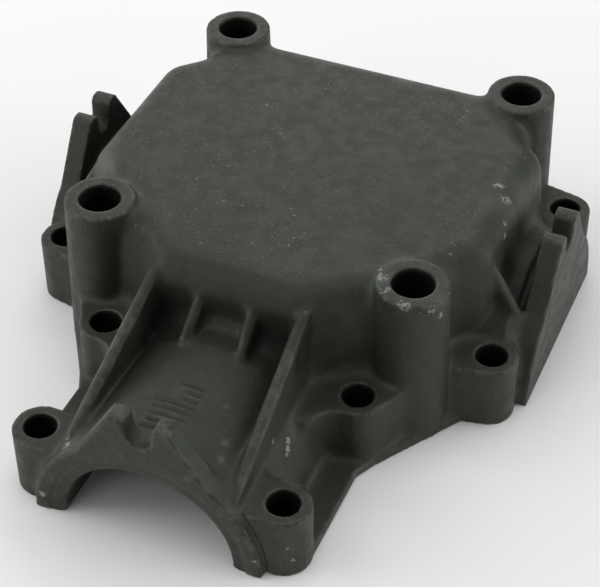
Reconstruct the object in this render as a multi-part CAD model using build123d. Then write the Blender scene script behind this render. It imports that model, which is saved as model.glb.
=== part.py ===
"""Half housing of a right angle drive, die cast in one piece and resting on its split plane.

The origin is the centre of the four tall posts on the split plane. The barrel points to -Y, +Z is up.
Lengths are in millimetres and angles in degrees.
"""

from build123d import *

import os
from math import acos, atan2, cos, hypot, radians, sin, sqrt, tan

# Bolt posts at the chamber's corners.
POST_GAP = 10.36
POST_HOLE = 9.0
POST_WALL = 3.1
POST_LEAN = 1.0
POST_RISE = 1.4

# Low lugs: two ears beside the barrel's mouth, two at its root and four beside the side plates.
LUG_HOLE = 6.8
LUG_WALL = 2.4
LUG_TOP = 15.0
EAR_OUT, EAR_BACK = 1.6, 7.8
MID_IN, MID_OUT = 6.4, 13.0
SIDE_OUT, SIDE_IN = 15.0, 8.8
WEB_OUT = 5.0
WEB_ROUND = 6.2

# Gear chamber: its walls at the split plane are set out from the posts' centre lines.
SIDE_WALL_OUT = 13.7
FRONT_WALL_OUT = 16.0
BACK_WALL_OUT = 3.9
CORNER_WALL_IN = 1.3
ROOF_RISE = 10.7
WALL = 4.0
DRAFT = 5.0
CORNER_ROUND = 10.0
ROOF_ROUND = 6.0
SHOULDER_IN = 3.0
SHOULDER_SPARE = 0.4
FLARE = 5.0
INNER_BREAK = 2.0

# Barrel, side domes and the gabled plates that end them, with a slit between each dome and its plate.
BORE_R = 18.5
BARREL_WALL = 6.5
BARREL_LENGTH = 37.6
MOUTH = 2.0
DOME_R = 23.6
DOME_REACH = 9.1
SLIT, SLIT_DEPTH = 2.0, 5.6
PLATE = 4.7
PLATE_STEP = 0.4
BLEND = 1.8
EAR_RISE, SIDE_EAR_RISE = 7.8, 8.4
EAR_WIDTH = 3.2
NOTCH_HALF, SIDE_NOTCH_HALF = 2.7, 2.3
NOTCH_SPLAY = 0.5
NOTCH_DEPTH = 6.2
GABLE_IN, SIDE_GABLE_IN = 2.2, 1.4
WAIST = 6.0

# Stiffening ribs, which slope down from the chamber's upper edge to the barrel and the side plates.
RIB = 2.7
RIB_SINK = 0.3
LONG_RIB_X, LONG_RIB_SPREAD = 16.6, 1.5
MID_RIB_X, MID_RIB_SPREAD = 5.5, 1.0
MID_RIB_RUN = 14.0
SIDE_RIB_Y = 16.0
SIDE_RIB_TOP = 4.2
SIDE_RIB_DROP = 14.2

# Sloping shelf that rises from each front side lug to the rib behind it and falls away to the plate.
SHELF_RUN, SHELF_RISE = 6.5, 6.2
SHELF_FALL = 4.5

# Thin flange round the split plane.
FLANGE = 2.0
LIP = 1.0
FLANGE_BEND = 8.6
MID_LIP_ANGLE, SIDE_LIP_ANGLE = -35.0, -118.0

# Lengths below this count as none.
NEAR = 0.01

BARREL_R = BORE_R + BARREL_WALL
CORE_R = DOME_R - SLIT_DEPTH
POST_XY = BARREL_R + POST_GAP
POST_R = POST_HOLE / 2 + POST_WALL
ROOF_TOP = BARREL_R + ROOF_RISE
POST_TOP = ROOF_TOP + POST_RISE
HALF_WIDTH = POST_XY + SIDE_WALL_OUT
FRONT = POST_XY + FRONT_WALL_OUT
BACK = POST_XY + BACK_WALL_OUT
CORNER = sqrt(2) * POST_XY - CORNER_WALL_IN
FRONT_FACE = FRONT + BARREL_LENGTH
SIDE_FACE = HALF_WIDTH + DOME_REACH
LUG_R = LUG_HOLE / 2 + LUG_WALL
EAR_X, EAR_Y = BARREL_R + EAR_OUT, EAR_BACK - FRONT_FACE
MID_X, MID_Y = POST_XY - MID_IN, -POST_XY - MID_OUT
SIDE_X, SIDE_Y = POST_XY + SIDE_OUT, SIDE_IN - POST_XY
LEAN = ROOF_TOP * tan(radians(DRAFT))
ROOF_EDGE = FRONT - LEAN - ROOF_ROUND
SHOULDER_R = ROOF_ROUND + LEAN + SHOULDER_SPARE
SHOULDER_XY = POST_XY - SHOULDER_IN / sqrt(2)
QUARTERS = [(-1, -1), (1, -1), (1, 1), (-1, 1)]


def both(shape):
    """The shape and its mirror image across the barrel's plane."""
    return shape + mirror(shape, Plane.YZ)


def all_four(shape):
    """The shape mirrored to the front and the back of both sides."""
    return both(shape + mirror(shape, Plane.XZ))


def half_disc(radius):
    """Upper half of a disc about the shaft axis."""
    return Circle(radius) & (Pos(0, radius) * Rectangle(2 * radius, 2 * radius))


def post():
    """Drafted round column from the split plane to above the roof."""
    base = (Align.CENTER, Align.CENTER, Align.MIN)
    return Pos(POST_XY, POST_XY, 0) * Cone(POST_R + POST_LEAN, POST_R, POST_TOP, align=base)


def octagon(inset):
    """Plan of the gear chamber at the split plane, inset from the outer wall."""
    half = HALF_WIDTH - inset
    front = FRONT - inset
    back = BACK - inset
    diagonal = sqrt(2) * (CORNER - inset)
    right = [
        (diagonal - front, -front),
        (half, half - diagonal),
        (half, diagonal - half),
        (diagonal - back, back),
    ]
    left = [(-x, y) for x, y in reversed(right)]
    return make_face(Polyline(*right, *left, close=True))


def outer_plan():
    """Chamber plan with rounded corners and a shoulder flaring out to each post."""
    plan = octagon(0)
    plan = fillet([v for v in plan.vertices() if v.Y < 0.9 * BACK], CORNER_ROUND)
    centres = [(sx * SHOULDER_XY, sy * SHOULDER_XY) for sx, sy in QUARTERS]
    plan += [Pos(x, y) * Circle(SHOULDER_R) for x, y in centres]
    flares = []
    for v in plan.vertices():
        gap = min(hypot(v.X - x, v.Y - y) for x, y in centres)
        if abs(gap - SHOULDER_R) < NEAR:
            flares.append(v)
    return fillet(flares, FLARE)


def drafted(plan, top):
    """Block that leans inwards by the draft as it rises from the plan."""
    lean = top * tan(radians(DRAFT))
    return loft([plan.face(), Pos(0, 0, top) * offset(plan, -lean).face()], ruled=True)


def gable(radius, top, inset, notch_half):
    """Outline of an end plate: half disc, two straight slopes and a notch between two ears.

    Each slope runs from an ear's outer corner and is tangent to a circle just inside the disc.
    """
    wide = notch_half + NOTCH_SPLAY
    half = wide + EAR_WIDTH
    inner = radius - inset
    turn = atan2(top, half) - acos(inner / hypot(half, top))
    foot_x, foot_z = inner * cos(turn), inner * sin(turn)
    peak = make_face(
        Polyline(
            (-foot_x, foot_z), (0, 0), (foot_x, foot_z), (half, top), (-half, top), close=True
        )
    )
    outline = half_disc(radius) + peak
    outline = fillet([v for v in outline.vertices() if foot_z < v.Y < top - NEAR], WAIST)
    floor = top - NOTCH_DEPTH + notch_half
    notch = make_face(
        Polyline((-notch_half, floor), (notch_half, floor), (wide, top), (-wide, top), close=True)
    )
    outline -= notch + Pos(0, floor) * Circle(notch_half)
    return fillet([v for v in outline.vertices() if v.Y > top - NEAR], 0.4 * EAR_WIDTH)


def lug(x, y, roots):
    """Lug with its web to the wall: the hull of its boss and two small roots."""
    rounds = Pos(x, y) * Circle(LUG_R)
    for root_x, root_y in roots:
        rounds += Pos(root_x, root_y) * Circle(LIP)
    return extrude(make_hull(rounds.edges()), LUG_TOP)


def rib(start, end, foot):
    """Upright web whose crest leaves the wall level at start and slopes straight down to end."""
    along = Vector(end[0] - start[0], end[1] - start[1], 0)
    plane = Plane((start[0], start[1], 0), x_dir=along, z_dir=along.cross(Vector(0, 0, 1)))
    run = along.length
    crest = [(-WALL, start[2]), (0, start[2]), (run, end[2])]
    side = make_face(Polyline(*crest, (run, foot), (-WALL, foot), close=True))
    web = extrude(plane * side, RIB / 2, both=True)
    slope = hypot(run, end[2] - start[2])
    return chamfer([e for e in web.edges() if abs(e.length - slope) < NEAR], 0.3 * RIB)


def lip_point(x, y, angle):
    """Corner of the flange, just outside a lug."""
    reach = LUG_R + LIP
    return x + reach * cos(radians(angle)), y + reach * sin(radians(angle))


def flange():
    """Right half of the thin flange along the split plane."""
    edge = EAR_X + LUG_R - LIP / 5
    back = POST_XY + POST_R
    side_x, side_y = lip_point(SIDE_X, SIDE_Y, SIDE_LIP_ANGLE)
    outline = [
        (0, EAR_Y),
        (edge, EAR_Y),
        (edge, MID_Y - FLANGE_BEND),
        lip_point(MID_X, MID_Y, MID_LIP_ANGLE),
        (side_x, side_y),
        (SIDE_X, SIDE_Y),
        (SIDE_X, -SIDE_Y),
        (side_x, -side_y),
        (POST_XY + POST_R / 2, back),
        (0, back),
    ]
    return extrude(make_face(Polyline(*outline, close=True)), FLANGE)


body = drafted(outer_plan(), ROOF_TOP)
body = fillet(body.edges().group_by(Axis.Z)[-1], ROOF_ROUND)

front_start = FRONT - 2 * WALL
side_start = HALF_WIDTH - 2 * WALL
plate_in = SIDE_FACE - PLATE
barrel_disc = Plane.XZ.offset(front_start) * half_disc(BARREL_R - PLATE_STEP)
barrel = extrude(barrel_disc, FRONT_FACE - PLATE / 2 - front_start)
dome_disc = Plane.YZ.offset(side_start) * half_disc(DOME_R - PLATE_STEP)
dome = extrude(dome_disc, plate_in - SLIT - side_start)
for tube in (barrel, dome, mirror(dome, Plane.YZ)):
    block = body
    body = block + tube
    seam = [e for e in new_edges(block, tube, combined=body) if e.center().Z > NEAR]
    body = chamfer(seam, BLEND)
core_disc = Plane.YZ.offset(side_start) * half_disc(CORE_R)
body += both(extrude(core_disc, plate_in + RIB_SINK - side_start))

front_gable = gable(BARREL_R, BARREL_R + EAR_RISE, GABLE_IN, NOTCH_HALF)
side_gable = gable(DOME_R, DOME_R + SIDE_EAR_RISE, SIDE_GABLE_IN, SIDE_NOTCH_HALF)
body += extrude(Plane.XZ.offset(FRONT_FACE - PLATE) * front_gable, PLATE)
body += both(extrude(Plane.YZ.offset(plate_in) * side_gable, PLATE))

plate_back = PLATE / 2 - FRONT_FACE
long_foot_x = LONG_RIB_X + LONG_RIB_SPREAD
long_foot_z = sqrt(BARREL_R**2 - long_foot_x**2) + RIB_SINK
long_top = (LONG_RIB_X, -ROOF_EDGE, ROOF_TOP - RIB_SINK)
body += both(rib(long_top, (long_foot_x, plate_back, long_foot_z), long_foot_z - WALL))

mid_foot_x = MID_RIB_X + MID_RIB_SPREAD
mid_foot_z = sqrt(BARREL_R**2 - mid_foot_x**2) - PLATE_STEP - RIB_SINK
mid_top = (MID_RIB_X, -ROOF_EDGE - ROOF_ROUND / 3, ROOF_TOP - 2 * RIB_SINK)
mid_foot = (mid_foot_x, mid_top[1] - MID_RIB_RUN, mid_foot_z)
body += both(rib(mid_top, mid_foot, mid_foot_z - WALL))

side_top = (HALF_WIDTH - LEAN, -SIDE_RIB_Y, ROOF_TOP - SIDE_RIB_TOP)
side_foot = (plate_in + 2 * RIB_SINK, -SIDE_RIB_Y, side_top[2] - SIDE_RIB_DROP)
body += both(rib(side_top, side_foot, LUG_TOP / 2))

shelf_low = -SIDE_RIB_Y - SHELF_RUN
shelf_side = make_face(
    Polyline(
        (shelf_low, LUG_TOP),
        (-SIDE_RIB_Y, LUG_TOP + SHELF_RISE),
        (-SIDE_RIB_Y, FLANGE),
        (shelf_low, FLANGE),
        close=True,
    )
)
shelf_in = HALF_WIDTH - LEAN
shelf = extrude(Plane.YZ.offset(shelf_in) * shelf_side, plate_in + PLATE / 2 - shelf_in)
shelf_rim = [e for e in shelf.edges().group_by(Axis.X)[-1] if e.center().Z > LUG_TOP]
body += both(chamfer(shelf_rim, SHELF_FALL))

root = BORE_R - LIP
ear = lug(EAR_X, EAR_Y, [(root, EAR_Y - LUG_R + LIP), (root, EAR_Y + LUG_R - LIP)])
mid = lug(MID_X, MID_Y, [(root, MID_Y - LUG_R + LIP), (POST_XY + WEB_OUT, -POST_XY)])
side = lug(SIDE_X, SIDE_Y, [(POST_XY, LIP - POST_XY), (HALF_WIDTH - LIP, SIDE_Y + 2 * LUG_R)])
web_front = MID_Y - LUG_R
web = Pos((root + MID_X) / 2, web_front) * Rectangle(MID_X - root, 2 * WEB_ROUND)
web -= Pos(MID_X, web_front - WEB_ROUND) * Circle(WEB_ROUND)
body += both(ear)
body += both(mid + extrude(web, LUG_TOP))
body += all_four(side)
body += both(flange())

hollow = drafted(octagon(WALL), ROOF_TOP - WALL)
body -= chamfer(hollow.edges().group_by(Axis.Z)[-1], INNER_BREAK)
body -= extrude(Plane.XZ.offset(front_start - WALL) * Circle(BORE_R), FRONT_FACE)
body -= Plane.XZ.offset(FRONT_FACE - MOUTH / 4) * Cone(BORE_R, BORE_R + MOUTH, MOUTH / 2)
pocket_disc = Plane.YZ.offset(side_start - WALL) * Circle(CORE_R - WALL / 2)
body -= both(extrude(pocket_disc, plate_in - side_start + WALL))

body += all_four(post())
post_hole = Pos(POST_XY, POST_XY, 0) * Cylinder(POST_HOLE / 2, 3 * POST_TOP)
body -= all_four(post_hole)
lug_hole = Cylinder(LUG_HOLE / 2, 3 * LUG_TOP)
body -= both(Pos(EAR_X, EAR_Y, 0) * lug_hole)
body -= both(Pos(MID_X, MID_Y, 0) * lug_hole)
body -= all_four(Pos(SIDE_X, SIDE_Y, 0) * lug_hole)

os.makedirs("parts", exist_ok=True)
export_step(body, "parts/housing.step")
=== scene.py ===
"""Dresses the die cast housing: soft cast edges, dark as-cast skin, studio light and the photograph's camera.

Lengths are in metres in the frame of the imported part: the origin is the centre of the four posts on the
split plane, the barrel points to -Y and +Z is up. Lists of places are in millimetres and say so.
"""

import math

import bmesh
import bpy
import numpy as np
from mathutils import Matrix, Vector
from mathutils.bvhtree import BVHTree


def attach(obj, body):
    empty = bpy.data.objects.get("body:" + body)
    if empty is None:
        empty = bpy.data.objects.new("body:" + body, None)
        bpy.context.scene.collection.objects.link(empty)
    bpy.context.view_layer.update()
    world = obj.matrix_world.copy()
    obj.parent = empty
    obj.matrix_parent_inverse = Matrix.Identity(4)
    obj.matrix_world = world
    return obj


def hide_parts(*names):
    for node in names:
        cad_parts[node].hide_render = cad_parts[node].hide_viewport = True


MM = 0.001

# The photograph's camera: width and focal length in pixels, direction from the object, roll and place.
IMAGE_WIDTH = 600
FOCAL_PIXELS = 1788.7
SENSOR = 36.0
AZIMUTH, ELEVATION, ROLL = 23.217, 41.578, -0.321
CAMERA_PLACE = (0.120537, -0.291499, 0.273073)

# Cast surface: reach of the weld, grid of the mesh, passes that round edges and fill corners, most triangles.
WELD = 0.002 * MM
VOXEL = 0.45 * MM
ROUND_PASSES, ROUND_SHARE = 2, 0.5
FILL_PASSES, FILL_SHARE = 30, 0.6
TRIANGLES = 190000

# Shallow transverse grooves on the barrel's crest: place along Y and both ends along X, in millimetres.
BARREL_R, CREST_REACH = 24.6 * MM, 0.6 * MM
GROOVES = [
    (-80.8, -4.4, 4.4),
    (-78.9, -3.8, 4.4),
    (-77.0, -4.2, 4.4),
    (-75.1, -4.1, 4.6),
    (-73.3, -4.4, 4.7),
    (-71.5, 0.6, 4.6),
    (-69.6, 0.6, 4.6),
    (-67.6, -2.0, 4.5),
]
GROOVE_WIDTH, GROOVE_DEPTH, GROOVE_FADE = 0.30 * MM, 0.50 * MM, 0.6 * MM

# Painted shade lines in those grooves: half width at their edge and core, fade at their ends, and least
# height.
LINE_EDGE, LINE_CORE, LINE_FADE = 0.42 * MM, 0.1 * MM, 0.8 * MM
LINE_HEIGHT = 0.8 * BARREL_R

# Narrow rim that steps back round the bore on the front face.
FRONT_FACE, FACE_FADE = -88.96 * MM, 0.6 * MM
BORE_R = 18.5 * MM
RIM_WIDTH, RIM_DEPTH, RIM_FADE = 3.4 * MM, 0.50 * MM, 0.4 * MM

# Crease between the ring round the bore and the right front ear, and where it ends behind, inside and above.
CREASE_R, CREASE_WIDTH, CREASE_DEPTH = 25.3 * MM, 0.38 * MM, 0.6 * MM
CREASE_BACK, CREASE_SIDE = -81 * MM, 16 * MM
CREASE_TOP, CREASE_FADE = 17 * MM, 3 * MM

# Cast metal that closes the crevice behind each mid lug: outline on the right, and heights, in millimetres.
WEDGE = [
    (31.0, -39.3),
    (25.0, -41.0),
    (20.0, -45.2),
    (19.5, -48.0),
    (24.0, -48.2),
    (25.5, -45.0),
    (31.0, -42.6),
]
WEDGE_LOW, WEDGE_HIGH = 0.5, 15.0

# Cast metal on the floor of the slit beside each side plate: both ends along X, and radii, in millimetres.
SLIT_START, SLIT_END = 51.0, 53.6
SLIT_INSIDE, SLIT_FLOOR = 17.0, 21.9
SLIT_STEPS = 60

# Places on the right that melt into the wall, as their mirror images do: place and radius in millimetres.
MELTS = [
    (20.8, -60.5, 13.0, 5.5),
    (24.5, -43.8, 14.6, 3.8),
    (27.6, -41.8, 14.6, 3.2),
]
MELT_PASSES, MELT_SHARE, MELT_SLOPE = 40, 0.5, 1.5

# How far the softened mesh is drawn back out to the solid, low on its walls and round its holes.
FOOT_SHARE, FOOT_HEIGHT, FOOT_FADE = 0.7, 1.2 * MM, 0.6 * MM
HOLE_SHARE, HOLE_REACH, HOLE_FADE = 0.85, 1.8 * MM, 1.0 * MM
DRAW_LIMIT = 0.8 * MM

# Measure of edges: passes that spread the surroundings, passes that soften the result, and its unit.
EDGE_SPREAD, EDGE_SOFTENING, EDGE_UNIT = 4, 2, 0.1 * MM

# Bolt holes on the right, each with a mirror image: centre, radius and rim height in millimetres.
HOLES = [
    (35.36, 35.36, 4.5, 37.1),
    (35.36, -35.36, 4.5, 37.1),
    (26.6, -81.16, 3.4, 15.0),
    (28.96, -48.36, 3.4, 15.0),
    (50.36, 26.56, 3.4, 15.0),
    (50.36, -26.56, 3.4, 15.0),
]

# Painted shade in the holes: its fade round the rim, and the reach and depth from which it is its own
# material.
BORE_FADE, BORE_REACH, BORE_DEPTH = 0.2 * MM, 0.3 * MM, 1.0 * MM

# Chalky smears left on the skin: place and radius in millimetres, and strength.
CHALK = [
    (20.5, -64.6, 13.7, 1.3, 1.1),
    (21.0, -66.0, 12.9, 1.4, 1.2),
    (21.2, -67.0, 12.4, 1.1, 1.0),
    (19.0, -68.6, 16.7, 1.1, 0.9),
    (20.4, -89.0, 9.7, 0.8, 0.5),
    (23.9, -88.9, 4.8, 1.1, 0.8),
    (29.6, -86.1, 8.2, 0.9, 0.8),
    (30.4, -85.5, 4.6, 1.1, 0.6),
    (-23.1, -89.0, 4.1, 1.4, 1.1),
    (-17.4, -86.3, 18.2, 1.6, 0.8),
    (-18.1, -84.5, 18.4, 1.2, 0.7),
    (45.2, -6.0, 33.3, 1.1, 1.0),
    (46.0, -8.1, 31.8, 1.2, 0.9),
    (41.0, 3.0, 35.7, 2.4, 0.70),
    (43.4, -0.1, 34.9, 2.6, 0.75),
    (-19.5, -41.3, 34.9, 0.8, 0.7),
    (17.3, -47.8, 33.0, 0.9, 0.7),
    (28.7, -36.0, 37.1, 2.6, 0.75),
    (31.0, -39.6, 37.1, 2.4, 0.60),
    (35.9, -42.4, 37.1, 2.6, 0.60),
    (41.4, -40.6, 35.8, 2.2, 0.75),
    (42.5, -38.3, 33.4, 1.6, 0.80),
    (27.4, -33.1, 36.1, 1.0, 0.9),
]

# Pale rubs on a post, the barrel and the front, and painted highlights on the shoulders: place and radius in
# millimetres, and strength.
RUBS_AND_SHOULDER_HIGHLIGHTS = [
    (28.9, -37.0, 37.1, 3.2, 0.45),
    (36.0, -42.6, 37.1, 3.0, 0.35),
    (42.2, -38.0, 36.4, 3.4, 0.45),
    # Painted highlights on the shoulders.
    (-42.0, -20.5, 34.0, 6.0, 1.0),
    (-43.5, -15.0, 34.5, 4.0, 0.6),
    (44.8, 5.6, 33.8, 6.0, 0.6),
    (43.0, -2.0, 35.0, 6.0, 0.5),
    (9.0, -68.7, 22.9, 1.2, 0.7),
    (12.3, -76.5, 21.3, 1.5, 0.9),
    (13.2, -80.2, 20.8, 1.4, 0.9),
    (10.2, -89.0, 22.7, 1.4, 0.9),
]

# Small dark pits in the roof: place and radius in millimetres, and strength.
PITS = [
    (-6.2, -44.1, 35.5, 0.6, 1.0),
    (-2.2, -44.6, 35.4, 0.5, 1.0),
    (-7.6, -47.0, 33.9, 0.6, 1.0),
    (-26.5, -35.7, 35.5, 0.6, 1.0),
]

# Painted shade in the hollow beside the right dome, and mirrored on the left: place and radius in
# millimetres, and strength.
DOME_SHADE = [
    (47.0, -8.0, 25.0, 5.0, 0.8),
    (48.3, -8.1, 22.5, 5.0, 0.9),
    (50.3, -12.0, 19.8, 4.5, 1.0),
    (48.5, -17.4, 23.0, 3.5, 1.0),
    (50.2, -17.4, 20.5, 3.5, 1.0),
    (46.9, 14.4, 26.3, 4.0, 0.7),
    (47.0, 16.5, 22.0, 6.5, 1.0),
    (47.8, 20.0, 16.0, 5.0, 1.0),
    (50.3, 13.4, 19.1, 3.5, 0.7),
]

# Lumps per metre of the skin's noises, from broad patches to fine grain, and of the bores and the paper.
PATCH_SCALE, MOTTLE_SCALE, WAVE_SCALE, GLOSS_SCALE = 28, 70, 240, 350
WEAR_SCALE, CHALK_SCALE, GRAIN_SCALE = 420, 1500, 1800
SPECK_CLUSTER_SCALE, BORE_SCALE, PAPER_SCALE = 45, 900, 3

# Specks in the skin: cells per metre, share of the cells that have one, and size of a speck in a cell.
BRIGHT_SPECKS = (700, 0.25, 0.20)
FAINT_SPECKS = (1350, 0.6, 0.32)
DARK_SPECKS = (600, 0.35, 0.22)
EDGE_CHIPS = (480, 0.35, 0.30)

# Height of the bumps, reach and rays of the painted shade in recesses, and shine of the skin and of the
# bores.
WAVE_HEIGHT, GRAIN_HEIGHT, BORE_HEIGHT = 0.09 * MM, 0.09 * MM, 0.08 * MM
RECESS_SHADE_REACH, RECESS_SHADE_RAYS = 14 * MM, 4
SKIN_SHINE, BORE_SHINE = 0.36, 0.08
SHINE_TINT = (0.93, 1.0, 0.88, 1)

# How much of the rubs and painted shoulder highlights, rubbed edges, creases, painted shade beside the domes,
# pits with the painted shade of grooves and bores, and painted shade in recesses shows in the colour.
RUB_AND_HIGHLIGHT_SHARE, EDGE_SHARE, CREASE_SHARE = 0.9, 0.45, 0.30
DOME_SHADE_SHARE, PIT_AND_SHADE_SHARE, RECESS_SHADE_SHARE = 0.9, 0.85, 0.6
CHALK_FRAYED, PITS_FRAYED = 0.6, 0.1

# Tones of the skin, the painted shade of the bores and the paper, as linear colours.
SKIN_DARK = (0.0174, 0.0202, 0.0147, 1)
SKIN_LIGHT = (0.0200, 0.0233, 0.0170, 1)
PATCH_TONE = (0.026, 0.0300, 0.0220, 1)
GRAIN_TONE = (0.032, 0.0365, 0.0270, 1)
# Tone of the pale rubs, also used for the painted shoulder highlights.
RUB_AND_HIGHLIGHT_TONE = (0.072, 0.077, 0.065, 1)
BRIGHT_SPECK_TONE = (0.12, 0.13, 0.11, 1)
FAINT_SPECK_TONE = (0.060, 0.066, 0.053, 1)
EDGE_TONE = (0.090, 0.096, 0.081, 1)
CREASE_TONE = (0.050, 0.054, 0.045, 1)
CHALK_TONE = (0.21, 0.22, 0.21, 1)
# The next five tones hold painted shade: on the front wall, beside the domes and in recesses; then the real
# pits together with the shade painted in grooves and holes; then the shade painted inside the holes.
FRONT_SHADE_TONE = (0.006, 0.0068, 0.0052, 1)
DOME_SHADE_TONE = (0.005, 0.0057, 0.0044, 1)
RECESS_SHADE_TONE = (0.004, 0.0046, 0.0036, 1)
PIT_AND_SHADE_TONE = (0.003, 0.0034, 0.0028, 1)
BORE_SHADE_TONE = (0.008, 0.009, 0.0075, 1)
PAPER_DARK = (0.90, 0.90, 0.90, 1)
PAPER_LIGHT = (0.91, 0.91, 0.91, 1)
PAPER_ROUGHNESS = 0.9

# Floor: half its side, and its gap below the split plane.
FLOOR_HALF, FLOOR_GAP = 3.0, 0.05 * MM

# Soft boxes around the object: direction from the front towards the right, height angle, and watts.
WORLD_STRENGTH = 0.01
LIGHT_REACH, LIGHT_SIZE = 1.2, 0.75
LIGHTS = [
    ("low_right_front", 67, 15, 2.3),
    ("low_right", 112, 15, 5.0),
    ("low_back", 202, 15, 2.8),
    ("low_left_back", 247, 15, 3.6),
    ("low_left", 292, 15, 3.4),
    ("low_front", 337, 15, 2.8),
    ("right", 112, 45, 1.7),
    ("back_right", 157, 45, 1.9),
    ("back_left", 202, 45, 2.4),
    ("left", 292, 45, 3.6),
    ("front", 337, 45, 0.9),
    ("top", 45, 87, 3.8),
]

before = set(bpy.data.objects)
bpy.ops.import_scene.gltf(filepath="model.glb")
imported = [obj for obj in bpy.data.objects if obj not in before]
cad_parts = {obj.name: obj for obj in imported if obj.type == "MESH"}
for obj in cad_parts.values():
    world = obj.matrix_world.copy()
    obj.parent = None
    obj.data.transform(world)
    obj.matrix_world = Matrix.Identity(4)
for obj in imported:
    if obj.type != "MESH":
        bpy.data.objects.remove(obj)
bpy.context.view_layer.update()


def link(data, name):
    """A new object with that data, in the scene."""
    made = bpy.data.objects.new(name, data)
    bpy.context.scene.collection.objects.link(made)
    return made


def apply_modifiers(obj):
    """Replaces the object's mesh by what its modifiers make of it."""
    graph = bpy.context.evaluated_depsgraph_get()
    made = bpy.data.meshes.new_from_object(obj.evaluated_get(graph))
    obj.modifiers.clear()
    obj.data = made


def rows_of(items, name):
    """A property of three numbers of all the items, as an array of rows."""
    flat = np.empty(3 * len(items))
    items.foreach_get(name, flat)
    return flat.reshape(-1, 3)


def points_of(mesh):
    """The mesh's vertices as an array of rows."""
    return rows_of(mesh.vertices, "co")


def normals_of(mesh):
    """The mesh's vertex normals as an array of rows."""
    return rows_of(mesh.vertices, "normal")


def set_points(mesh, points):
    """Moves the mesh's vertices to the rows of the array."""
    mesh.vertices.foreach_set("co", points.ravel())
    mesh.update()


def groove_depth(points):
    """How far each point on the barrel's crest sinks into one of the transverse grooves."""
    x, y, z = points.T
    on_crest = (np.abs(np.hypot(x, z) - BARREL_R) < CREST_REACH) & (z > 0)
    depth = np.zeros(len(points))
    for row, start, end in GROOVES:
        inside = np.minimum(x - start * MM, end * MM - x)
        across = np.clip(inside / GROOVE_FADE, 0, 1)
        depth = np.maximum(depth, across * np.exp(-(((y - row * MM) / GROOVE_WIDTH) ** 2)))
    return GROOVE_DEPTH * depth * on_crest


def rim_step(points):
    """How far each point of the front steps back in the narrow rim round the bore and in the ear's crease."""
    x, y, z = points.T
    out = np.hypot(x, z) - BORE_R
    rim = np.clip((RIM_WIDTH - out) / RIM_FADE, 0, 1) * np.clip((y - FRONT_FACE) / -FACE_FADE + 1, 0, 1)
    crease = np.exp(-(((out + BORE_R - CREASE_R) / CREASE_WIDTH) ** 2)) * (y < CREASE_BACK)
    crease *= np.clip((CREASE_TOP - z) / CREASE_FADE, 0, 1) * (x > CREASE_SIDE)
    return RIM_DEPTH * rim + CREASE_DEPTH * crease


def neighbours(mesh):
    """Both ends of every edge, and how many edges meet at each vertex."""
    ends = np.empty(2 * len(mesh.edges), dtype=np.int64)
    mesh.edges.foreach_get("vertices", ends)
    first, second = ends.reshape(-1, 2).T
    count = np.bincount(ends, minlength=len(mesh.vertices))
    return first, second, count


def around(values, first, second, count):
    """Mean of the values at each vertex's neighbours."""
    total = np.bincount(first, values[second], len(count)) + np.bincount(second, values[first], len(count))
    return total / count


def points_around(points, links):
    """Mean of the points at each vertex's neighbours."""
    return np.stack([around(column, *links) for column in points.T], axis=1)


def fill_hollows(mesh):
    """Fills every inside corner to a soft fillet and leaves outside edges as they are."""
    links = neighbours(mesh)
    for _ in range(FILL_PASSES):
        points = points_of(mesh)
        normals = normals_of(mesh)
        rise = np.maximum(((points_around(points, links) - points) * normals).sum(axis=1), 0)
        set_points(mesh, points + FILL_SHARE * rise[:, None] * normals)


def melt(mesh):
    """Smooths the mesh both ways round the places that melt into the wall."""
    links = neighbours(mesh)
    points = points_of(mesh)
    folded = np.hstack([np.abs(points[:, :1]), points[:, 1:]]) / MM
    weight = np.zeros(len(points))
    for *centre, radius in MELTS:
        away = np.linalg.norm(folded - centre, axis=1)
        weight = np.maximum(weight, np.clip(MELT_SLOPE - MELT_SLOPE * away / radius, 0, 1))
    for _ in range(MELT_PASSES):
        points += MELT_SHARE * weight[:, None] * (points_around(points, links) - points)
    set_points(mesh, points)


def sharpen_rims(mesh, solid):
    """Brings the hole rims and the lower edges back out to the solid's own surface."""
    tree = BVHTree.FromPolygons([v.co for v in solid.vertices], [p.vertices for p in solid.polygons])
    points = points_of(mesh)
    share = FOOT_SHARE * np.clip((FOOT_HEIGHT - points[:, 2]) / FOOT_FADE, 0, 1)
    for x, y, radius, _ in HOLES:
        reach = np.hypot(np.abs(points[:, 0]) - x * MM, points[:, 1] - y * MM) - radius * MM
        share = np.maximum(share, HOLE_SHARE * np.clip((HOLE_REACH - reach) / HOLE_FADE, 0, 1))
    normals = normals_of(mesh)
    for index in np.flatnonzero(share):
        place, _, _, away = tree.find_nearest(points[index])
        move = np.array(place) - points[index]
        if away < DRAW_LIMIT and move @ normals[index] > 0:
            points[index] += share[index] * move
    set_points(mesh, points)


def mark_edges(mesh):
    """Stores how far each vertex stands out of its surroundings, in tenths of a millimetre, as "edge"."""
    links = neighbours(mesh)
    points = points_of(mesh)
    soft = points
    for _ in range(EDGE_SPREAD):
        soft = points_around(soft, links)
    stand = ((points - soft) * normals_of(mesh)).sum(axis=1) / EDGE_UNIT
    for _ in range(EDGE_SOFTENING):
        stand = 0.5 * stand + 0.5 * around(stand, *links)
    mesh.attributes.new("edge", "FLOAT", "POINT").data.foreach_set("value", stand)


def add_block(shape, first, second):
    """Adds a closed block between two outlines with the same number of corners."""
    one = [shape.verts.new([MM * part for part in corner]) for corner in first]
    two = [shape.verts.new([MM * part for part in corner]) for corner in second]
    faces = [shape.faces.new(one), shape.faces.new(two)]
    for k in range(len(one)):
        faces.append(shape.faces.new((one[k - 1], one[k], two[k], two[k - 1])))
    bmesh.ops.recalc_face_normals(shape, faces=faces)


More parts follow.
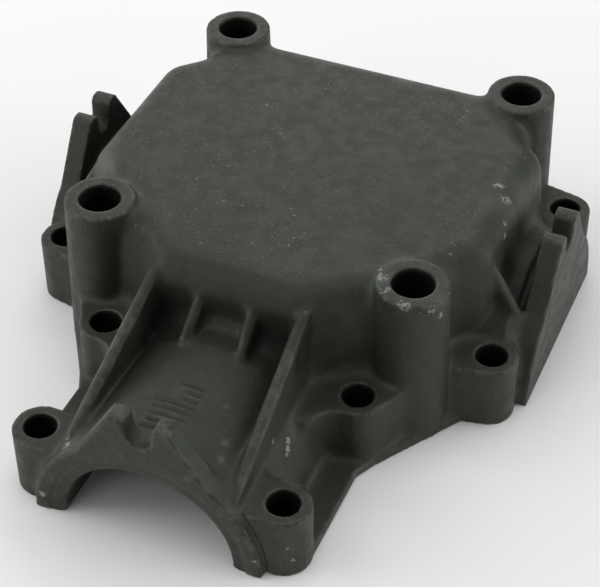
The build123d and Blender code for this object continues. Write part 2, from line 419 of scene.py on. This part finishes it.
def add_fillings(shape):
    """Adds the metal behind the mid lugs and in the slits, on both sides."""
    angles = np.radians(np.linspace(1, 179, SLIT_STEPS))
    arc = [(SLIT_FLOOR * math.cos(a), SLIT_FLOOR * math.sin(a)) for a in angles]
    arc += [(SLIT_INSIDE * math.cos(a), SLIT_INSIDE * math.sin(a)) for a in angles[::-1]]
    for side in (1, -1):
        wedge = [(side * x, y) for x, y in WEDGE]
        add_block(shape, [(x, y, WEDGE_LOW) for x, y in wedge], [(x, y, WEDGE_HIGH) for x, y in wedge])
        start, end = side * SLIT_START, side * SLIT_END
        add_block(shape, [(start, y, z) for y, z in arc], [(end, y, z) for y, z in arc])


def round_edges(piece):
    """Remeshes the piece on a fine grid and softens its edges."""
    remesh = piece.modifiers.new("grid", "REMESH")
    remesh.mode = "VOXEL"
    remesh.voxel_size = VOXEL
    rounding = piece.modifiers.new("rounding", "SMOOTH")
    rounding.factor = ROUND_SHARE
    rounding.iterations = ROUND_PASSES
    apply_modifiers(piece)


def engrave(mesh):
    """Sinks the barrel's grooves, the rim round the bore and the ear's crease into the mesh."""
    points = points_of(mesh)
    outward = points * (1, 0, 1)
    outward /= np.maximum(np.linalg.norm(outward, axis=1, keepdims=True), MM)
    points -= outward * groove_depth(points)[:, None]
    points[:, 1] += rim_step(points)
    set_points(mesh, points)


def thin_out(piece):
    """Merges the piece's triangles down to the most it may keep."""
    piece.data.calc_loop_triangles()
    thinning = piece.modifiers.new("thinning", "DECIMATE")
    thinning.ratio = min(1, TRIANGLES / len(piece.data.loop_triangles))
    apply_modifiers(piece)


def cast_piece(node, name):
    """The node's solid with every edge rounded as a casting's is, as a new object."""
    mesh = node.data.copy()
    mesh.materials.clear()
    shape = bmesh.new()
    shape.from_mesh(mesh)
    bmesh.ops.remove_doubles(shape, verts=shape.verts, dist=WELD)
    add_fillings(shape)
    shape.to_mesh(mesh)
    shape.free()
    piece = link(mesh, name)

    round_edges(piece)
    fill_hollows(piece.data)
    melt(piece.data)
    sharpen_rims(piece.data, node.data)
    engrave(piece.data)
    mark_edges(piece.data)
    thin_out(piece)
    piece.data.shade_smooth()
    return piece


class Nodes:
    """Short hand for building a material's node tree."""

    def __init__(self, name):
        self.material = bpy.data.materials.new(name)
        self.material.use_nodes = True
        self.tree = self.material.node_tree
        self.shader = self.tree.nodes["Principled BSDF"]
        self.place = self.tree.nodes.new("ShaderNodeTexCoord").outputs["Object"]

    def join(self, source, target):
        """Links an output to an input, or sets the input to a plain value."""
        if isinstance(source, bpy.types.NodeSocket):
            self.tree.links.new(source, target)
        else:
            target.default_value = source

    def finish(self, **sockets):
        """Joins sources to the shader's inputs, whose names have _ for a space."""
        for name, source in sockets.items():
            self.join(source, self.shader.inputs[name.replace("_", " ")])
        return self.material

    def attribute(self, name):
        """A number stored on the mesh."""
        node = self.tree.nodes.new("ShaderNodeAttribute")
        node.attribute_name = name
        return node.outputs["Fac"]

    def noise(self, scale, detail=3.0, rough=0.55):
        """Noise of about 0 to 1, with scale in lumps per metre."""
        node = self.tree.nodes.new("ShaderNodeTexNoise")
        self.join(self.place, node.inputs["Vector"])
        node.inputs["Scale"].default_value = scale
        node.inputs["Detail"].default_value = detail
        node.inputs["Roughness"].default_value = rough
        return node.outputs["Fac"]

    def cells(self, scale):
        """Distance to the nearest of scattered points, and a random colour for that point."""
        node = self.tree.nodes.new("ShaderNodeTexVoronoi")
        self.join(self.place, node.inputs["Vector"])
        node.inputs["Scale"].default_value = scale
        return node.outputs["Distance"], node.outputs["Color"]

    def open_air(self):
        """Share that is 1 on open faces and goes down to 0 in the piece's own recesses."""
        node = self.tree.nodes.new("ShaderNodeAmbientOcclusion")
        node.samples = RECESS_SHADE_RAYS
        node.only_local = True
        node.inputs["Distance"].default_value = RECESS_SHADE_REACH
        return self.ramp(node.outputs["AO"], 0.15, 0.65)

    def ramp(self, value, low, high, to_low=0.0, to_high=1.0):
        """Maps low to high smoothly onto to_low to to_high."""
        node = self.tree.nodes.new("ShaderNodeMapRange")
        node.interpolation_type = "SMOOTHSTEP"
        sockets = [value, low, high, to_low, to_high]
        for source, target in zip(sockets, node.inputs):
            self.join(source, target)
        return node.outputs["Result"]

    def math(self, operation, *values):
        """Result of one arithmetic operation on the values."""
        node = self.tree.nodes.new("ShaderNodeMath")
        node.operation = operation
        for source, target in zip(values, node.inputs):
            self.join(source, target)
        return node.outputs["Value"]

    def times(self, first, *others):
        """Product of the values."""
        for other in others:
            first = self.math("MULTIPLY", first, other)
        return first

    def most(self, first, *others):
        """Largest of the values."""
        for other in others:
            first = self.math("MAXIMUM", first, other)
        return first

    def split(self, vector):
        """The three parts of a vector or colour."""
        node = self.tree.nodes.new("ShaderNodeSeparateXYZ")
        self.join(vector, node.inputs[0])
        return node.outputs

    def away(self, place, centre):
        """Distance from a fixed point."""
        node = self.tree.nodes.new("ShaderNodeVectorMath")
        node.operation = "DISTANCE"
        self.join(place, node.inputs[0])
        node.inputs[1].default_value = centre
        return node.outputs["Value"]

    def mix(self, share, first, second):
        """Colour that goes from first to second with share."""
        node = self.tree.nodes.new("ShaderNodeMix")
        node.data_type = "RGBA"
        sockets = [s for s in node.inputs if s.enabled]
        for source, target in zip((share, first, second), sockets):
            self.join(source, target)
        return next(s for s in node.outputs if s.enabled)

    def bump(self, height, distance, below=None):
        """Surface normal for a height map whose full height is the distance."""
        node = self.tree.nodes.new("ShaderNodeBump")
        node.inputs["Distance"].default_value = distance
        self.join(height, node.inputs["Height"])
        if below is not None:
            self.join(below, node.inputs["Normal"])
        return node.outputs["Normal"]

    def haze(self, places):
        """Share of 0 to 1 that fades outwards from each of a list of spots."""
        total = 0.0
        for *centre, radius, strength in places:
            away = self.away(self.place, [MM * part for part in centre])
            total = self.most(self.ramp(away, radius * MM, 0.0, 0.0, strength), total)
        return total

    def spots(self, places, frayed):
        """Share of 0 to 1 inside a list of spots, broken up by noise as far as frayed says."""
        broken = self.ramp(self.noise(CHALK_SCALE, 7, 0.75), 0.30, 0.70, -frayed, frayed)
        return self.ramp(self.math("ADD", self.haze(places), broken), 0.45, 0.85)

    def specks(self, scale, share, size):
        """Round specks in that share of the cells, as large as size times a cell."""
        distance, chance = self.cells(scale)
        reach = self.ramp(self.split(chance)["X"], 1 - share, 1.0, 0.0, size)
        return self.math("LESS_THAN", distance, reach)

    def bores(self):
        """Share of 0 to 1 that is full inside the holes of both sides, where shade is painted."""
        x, y, _ = self.split(self.place)
        node = self.tree.nodes.new("ShaderNodeCombineXYZ")
        self.join(self.math("ABSOLUTE", x), node.inputs["X"])
        self.join(y, node.inputs["Y"])
        total = 0.0
        for across, along, radius, _ in HOLES:
            away = self.away(node.outputs["Vector"], [across * MM, along * MM, 0])
            total = self.most(self.ramp(away, radius * MM + BORE_FADE, radius * MM), total)
        return total

    def groove_shade_lines(self):
        """Share of 0 to 1 of painted shade along the bottoms of the barrel's grooves."""
        x, y, z = self.split(self.place)
        total = 0.0
        for row, start, end in GROOVES:
            middle, half = 0.5 * (start + end), 0.5 * (end - start)
            off = self.math("ABSOLUTE", self.math("SUBTRACT", y, row * MM))
            side = self.math("ABSOLUTE", self.math("SUBTRACT", x, middle * MM))
            near = self.ramp(off, LINE_EDGE, LINE_CORE)
            within = self.ramp(side, half * MM, half * MM - LINE_FADE)
            total = self.most(self.times(near, within), total)
        return self.times(total, self.math("GREATER_THAN", z, LINE_HEIGHT))


def cast_tone(nodes, grain):
    """Mottled grey green of the bare skin, with pale rubs and painted highlights on the shoulders."""
    colour = nodes.mix(nodes.ramp(nodes.noise(MOTTLE_SCALE, 4), 0.35, 0.65), SKIN_DARK, SKIN_LIGHT)
    colour = nodes.mix(nodes.ramp(nodes.noise(PATCH_SCALE), 0.5, 0.75, 0, 0.5), colour, PATCH_TONE)
    colour = nodes.mix(nodes.ramp(grain, 0.3, 0.75, 0, 0.50), colour, GRAIN_TONE)
    return nodes.mix(nodes.times(nodes.haze(RUBS_AND_SHOULDER_HIGHLIGHTS), RUB_AND_HIGHLIGHT_SHARE), colour, RUB_AND_HIGHLIGHT_TONE)


def add_specks(nodes, colour):
    """Adds pale specks, which lie in clusters and mostly on the roof."""
    on_roof = nodes.ramp(nodes.split(nodes.place)["Z"], 33 * MM, 35 * MM, 0.15, 1.0)
    clusters = nodes.ramp(nodes.noise(SPECK_CLUSTER_SCALE, 2), 0.38, 0.60, 0.25, 1.0)
    dense = nodes.times(clusters, on_roof)
    colour = nodes.mix(nodes.times(nodes.specks(*BRIGHT_SPECKS), dense), colour, BRIGHT_SPECK_TONE)
    return nodes.mix(nodes.times(nodes.specks(*FAINT_SPECKS), dense), colour, FAINT_SPECK_TONE)


def add_wear(nodes, colour, stand):
    """Adds rubbed edges in patches, paler inside corners and chalky smears."""
    patchy = nodes.ramp(nodes.noise(WEAR_SCALE, 4, 0.65), 0.40, 0.62)
    rubbed = nodes.times(nodes.ramp(stand, 0.35, 1.2), patchy, EDGE_SHARE)
    colour = nodes.mix(rubbed, colour, EDGE_TONE)
    colour = nodes.mix(nodes.ramp(stand, -0.25, -0.6, 0, CREASE_SHARE), colour, CREASE_TONE)
    return nodes.mix(nodes.spots(CHALK, CHALK_FRAYED), colour, CHALK_TONE)


def front_wall_shade(nodes):
    """Share of painted shade high on the chamber's recessed front wall, between the long ribs."""
    x, y, z = nodes.split(nodes.place)
    forward = nodes.ramp(y, -35 * MM, -45 * MM)
    above = nodes.ramp(z, 19 * MM, 24 * MM, 0, 0.6)
    between = nodes.ramp(nodes.math("ABSOLUTE", x), 26 * MM, 20 * MM)
    return nodes.times(forward, above, between, nodes.math("GREATER_THAN", y, -56 * MM))


def marks_and_painted_shade(nodes, stand):
    """Share of pits and chipped edges, and of painted shade at the groove bottoms and in the bores."""
    _, y, z = nodes.split(nodes.place)
    roof_front = nodes.times(nodes.ramp(y, -34 * MM, -44 * MM), nodes.ramp(z, 26 * MM, 33 * MM))
    pitted = nodes.times(nodes.specks(*DARK_SPECKS), nodes.ramp(roof_front, 0, 1, 0.10, 0.75))
    chipped = nodes.times(nodes.specks(*EDGE_CHIPS), nodes.ramp(stand, 0.4, 1.0, 0.0, 0.6))
    pits = nodes.spots(PITS, PITS_FRAYED)
    return nodes.most(pits, nodes.groove_shade_lines(), pitted, chipped, nodes.bores())


def add_pits_and_painted_shade(nodes, colour, stand, open_air):
    """Adds painted shade on the front wall, beside the domes, in the grooves and bores and in every recess,
    with the real dark pits and chipped edges.
    """
    # Painted shade in the hollows beside both domes.
    hollows = DOME_SHADE + [(-across, *rest) for across, *rest in DOME_SHADE]
    # Painted shade high on the recessed front wall.
    colour = nodes.mix(front_wall_shade(nodes), colour, FRONT_SHADE_TONE)
    colour = nodes.mix(nodes.times(nodes.haze(hollows), DOME_SHADE_SHARE), colour, DOME_SHADE_TONE)
    # Real pits and chipped edges, with painted shade in the grooves and bores.
    colour = nodes.mix(nodes.times(marks_and_painted_shade(nodes, stand), PIT_AND_SHADE_SHARE), colour, PIT_AND_SHADE_TONE)
    # Painted shade: darker in the piece's own recesses, from the ambient occlusion share.
    return nodes.mix(nodes.ramp(open_air, 0, 1, RECESS_SHADE_SHARE, 0.0), colour, RECESS_SHADE_TONE)


def cast_skin():
    """Dark matte skin of an old die casting: mottled, finely pitted, with specks, chalk and rubbed edges,
    painted highlights on the shoulders and painted shade in recesses, grooves, holes, beside the domes and on
    the front wall.
    """
    nodes = Nodes("cast_skin")
    stand = nodes.attribute("edge")
    grain = nodes.noise(GRAIN_SCALE, 4, 0.65)
    open_air = nodes.open_air()

    colour = add_specks(nodes, cast_tone(nodes, grain))
    colour = add_pits_and_painted_shade(nodes, add_wear(nodes, colour, stand), stand, open_air)
    gloss = nodes.ramp(nodes.noise(GLOSS_SCALE), 0.3, 0.7, 0.44, 0.60)
    rough = nodes.most(gloss, nodes.ramp(open_air, 0, 1, 0.9, 0.44))
    waves = nodes.bump(nodes.noise(WAVE_SCALE), WAVE_HEIGHT)

    nodes.shader.inputs["Specular IOR Level"].default_value = SKIN_SHINE
    nodes.shader.inputs["Specular Tint"].default_value = SHINE_TINT
    return nodes.finish(Base_Color=colour, Roughness=rough, Normal=nodes.bump(grain, GRAIN_HEIGHT, waves))


def bore_painted_shade():
    """Painted shade inside the bolt holes: black and matte."""
    nodes = Nodes("bore_painted_shade")
    grain = nodes.noise(BORE_SCALE)
    colour = nodes.mix(grain, PIT_AND_SHADE_TONE, BORE_SHADE_TONE)
    rough = nodes.ramp(grain, 0.3, 0.7, 0.7, 0.9)
    nodes.shader.inputs["Specular IOR Level"].default_value = BORE_SHINE
    return nodes.finish(Base_Color=colour, Roughness=rough, Normal=nodes.bump(grain, BORE_HEIGHT))


def paint_bores(mesh):
    """Gives the faces inside the holes, from a little below their rims, the mesh's second material, the
    painted shade.
    """
    x, y, z = rows_of(mesh.polygons, "center").T
    inside = np.zeros(len(x), dtype=np.int32)
    for across, along, radius, rim in HOLES:
        away = np.hypot(np.abs(x) - across * MM, y - along * MM)
        inside |= (away < radius * MM + BORE_REACH) & (z < rim * MM - BORE_DEPTH)
    mesh.polygons.foreach_set("material_index", inside)


def floor_material():
    """Plain pale paper."""
    nodes = Nodes("paper")
    tone = nodes.ramp(nodes.noise(PAPER_SCALE, 2), 0.3, 0.7)
    nodes.shader.inputs["Roughness"].default_value = PAPER_ROUGHNESS
    return nodes.finish(Base_Color=nodes.mix(tone, PAPER_DARK, PAPER_LIGHT))


def add_floor():
    """Large flat sheet just under the split plane."""
    mesh = bpy.data.meshes.new("floor")
    low, high = -FLOOR_HALF, FLOOR_HALF
    mesh.from_pydata([(low, low, 0), (high, low, 0), (high, high, 0), (low, high, 0)], [], [(0, 1, 2, 3)])
    mesh.materials.append(floor_material())
    floor = link(mesh, "floor")
    floor.location.z = -FLOOR_GAP


def direction(azimuth, elevation):
    """Unit vector for an angle from the front towards the right and a height angle, in degrees."""
    turn, up = math.radians(azimuth), math.radians(elevation)
    level = math.cos(up)
    return Vector((level * math.sin(turn), -level * math.cos(turn), math.sin(up)))


def add_light(name, azimuth, elevation, power):
    """Square soft box that faces the object."""
    place = LIGHT_REACH * direction(azimuth, elevation)
    data = bpy.data.lights.new(name, "AREA")
    data.shape = "SQUARE"
    data.size = LIGHT_SIZE
    data.energy = power
    light = link(data, name)
    light.location = place
    light.rotation_euler = (-place).to_track_quat("-Z", "Y").to_euler()


def add_studio():
    """Dim surroundings and the soft boxes."""
    world = bpy.data.worlds.new("studio")
    world.use_nodes = True
    background = world.node_tree.nodes["Background"]
    background.inputs["Color"].default_value = (1, 1, 1, 1)
    background.inputs["Strength"].default_value = WORLD_STRENGTH
    bpy.context.scene.world = world
    for light in LIGHTS:
        add_light(*light)


def add_camera():
    """The photograph's viewpoint."""
    back = direction(AZIMUTH, ELEVATION)
    right = direction(AZIMUTH + 90, 0)
    level = Matrix((right, back.cross(right), back)).transposed()
    turned = level @ Matrix.Rotation(math.radians(ROLL), 3, "Z")
    data = bpy.data.cameras.new("camera")
    data.sensor_width = SENSOR
    data.lens = FOCAL_PIXELS * SENSOR / IMAGE_WIDTH
    camera = link(data, "camera")
    camera.matrix_world = Matrix.Translation(CAMERA_PLACE) @ turned.to_4x4()
    bpy.context.scene.camera = camera


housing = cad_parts["housing"]
casting = cast_piece(housing, "casting")
casting.data.materials.append(cast_skin())
casting.data.materials.append(bore_painted_shade())
paint_bores(casting.data)
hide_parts("housing")
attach(casting, "root")

add_floor()
add_studio()
add_camera()
bpy.context.scene.view_settings.view_transform = "Standard"
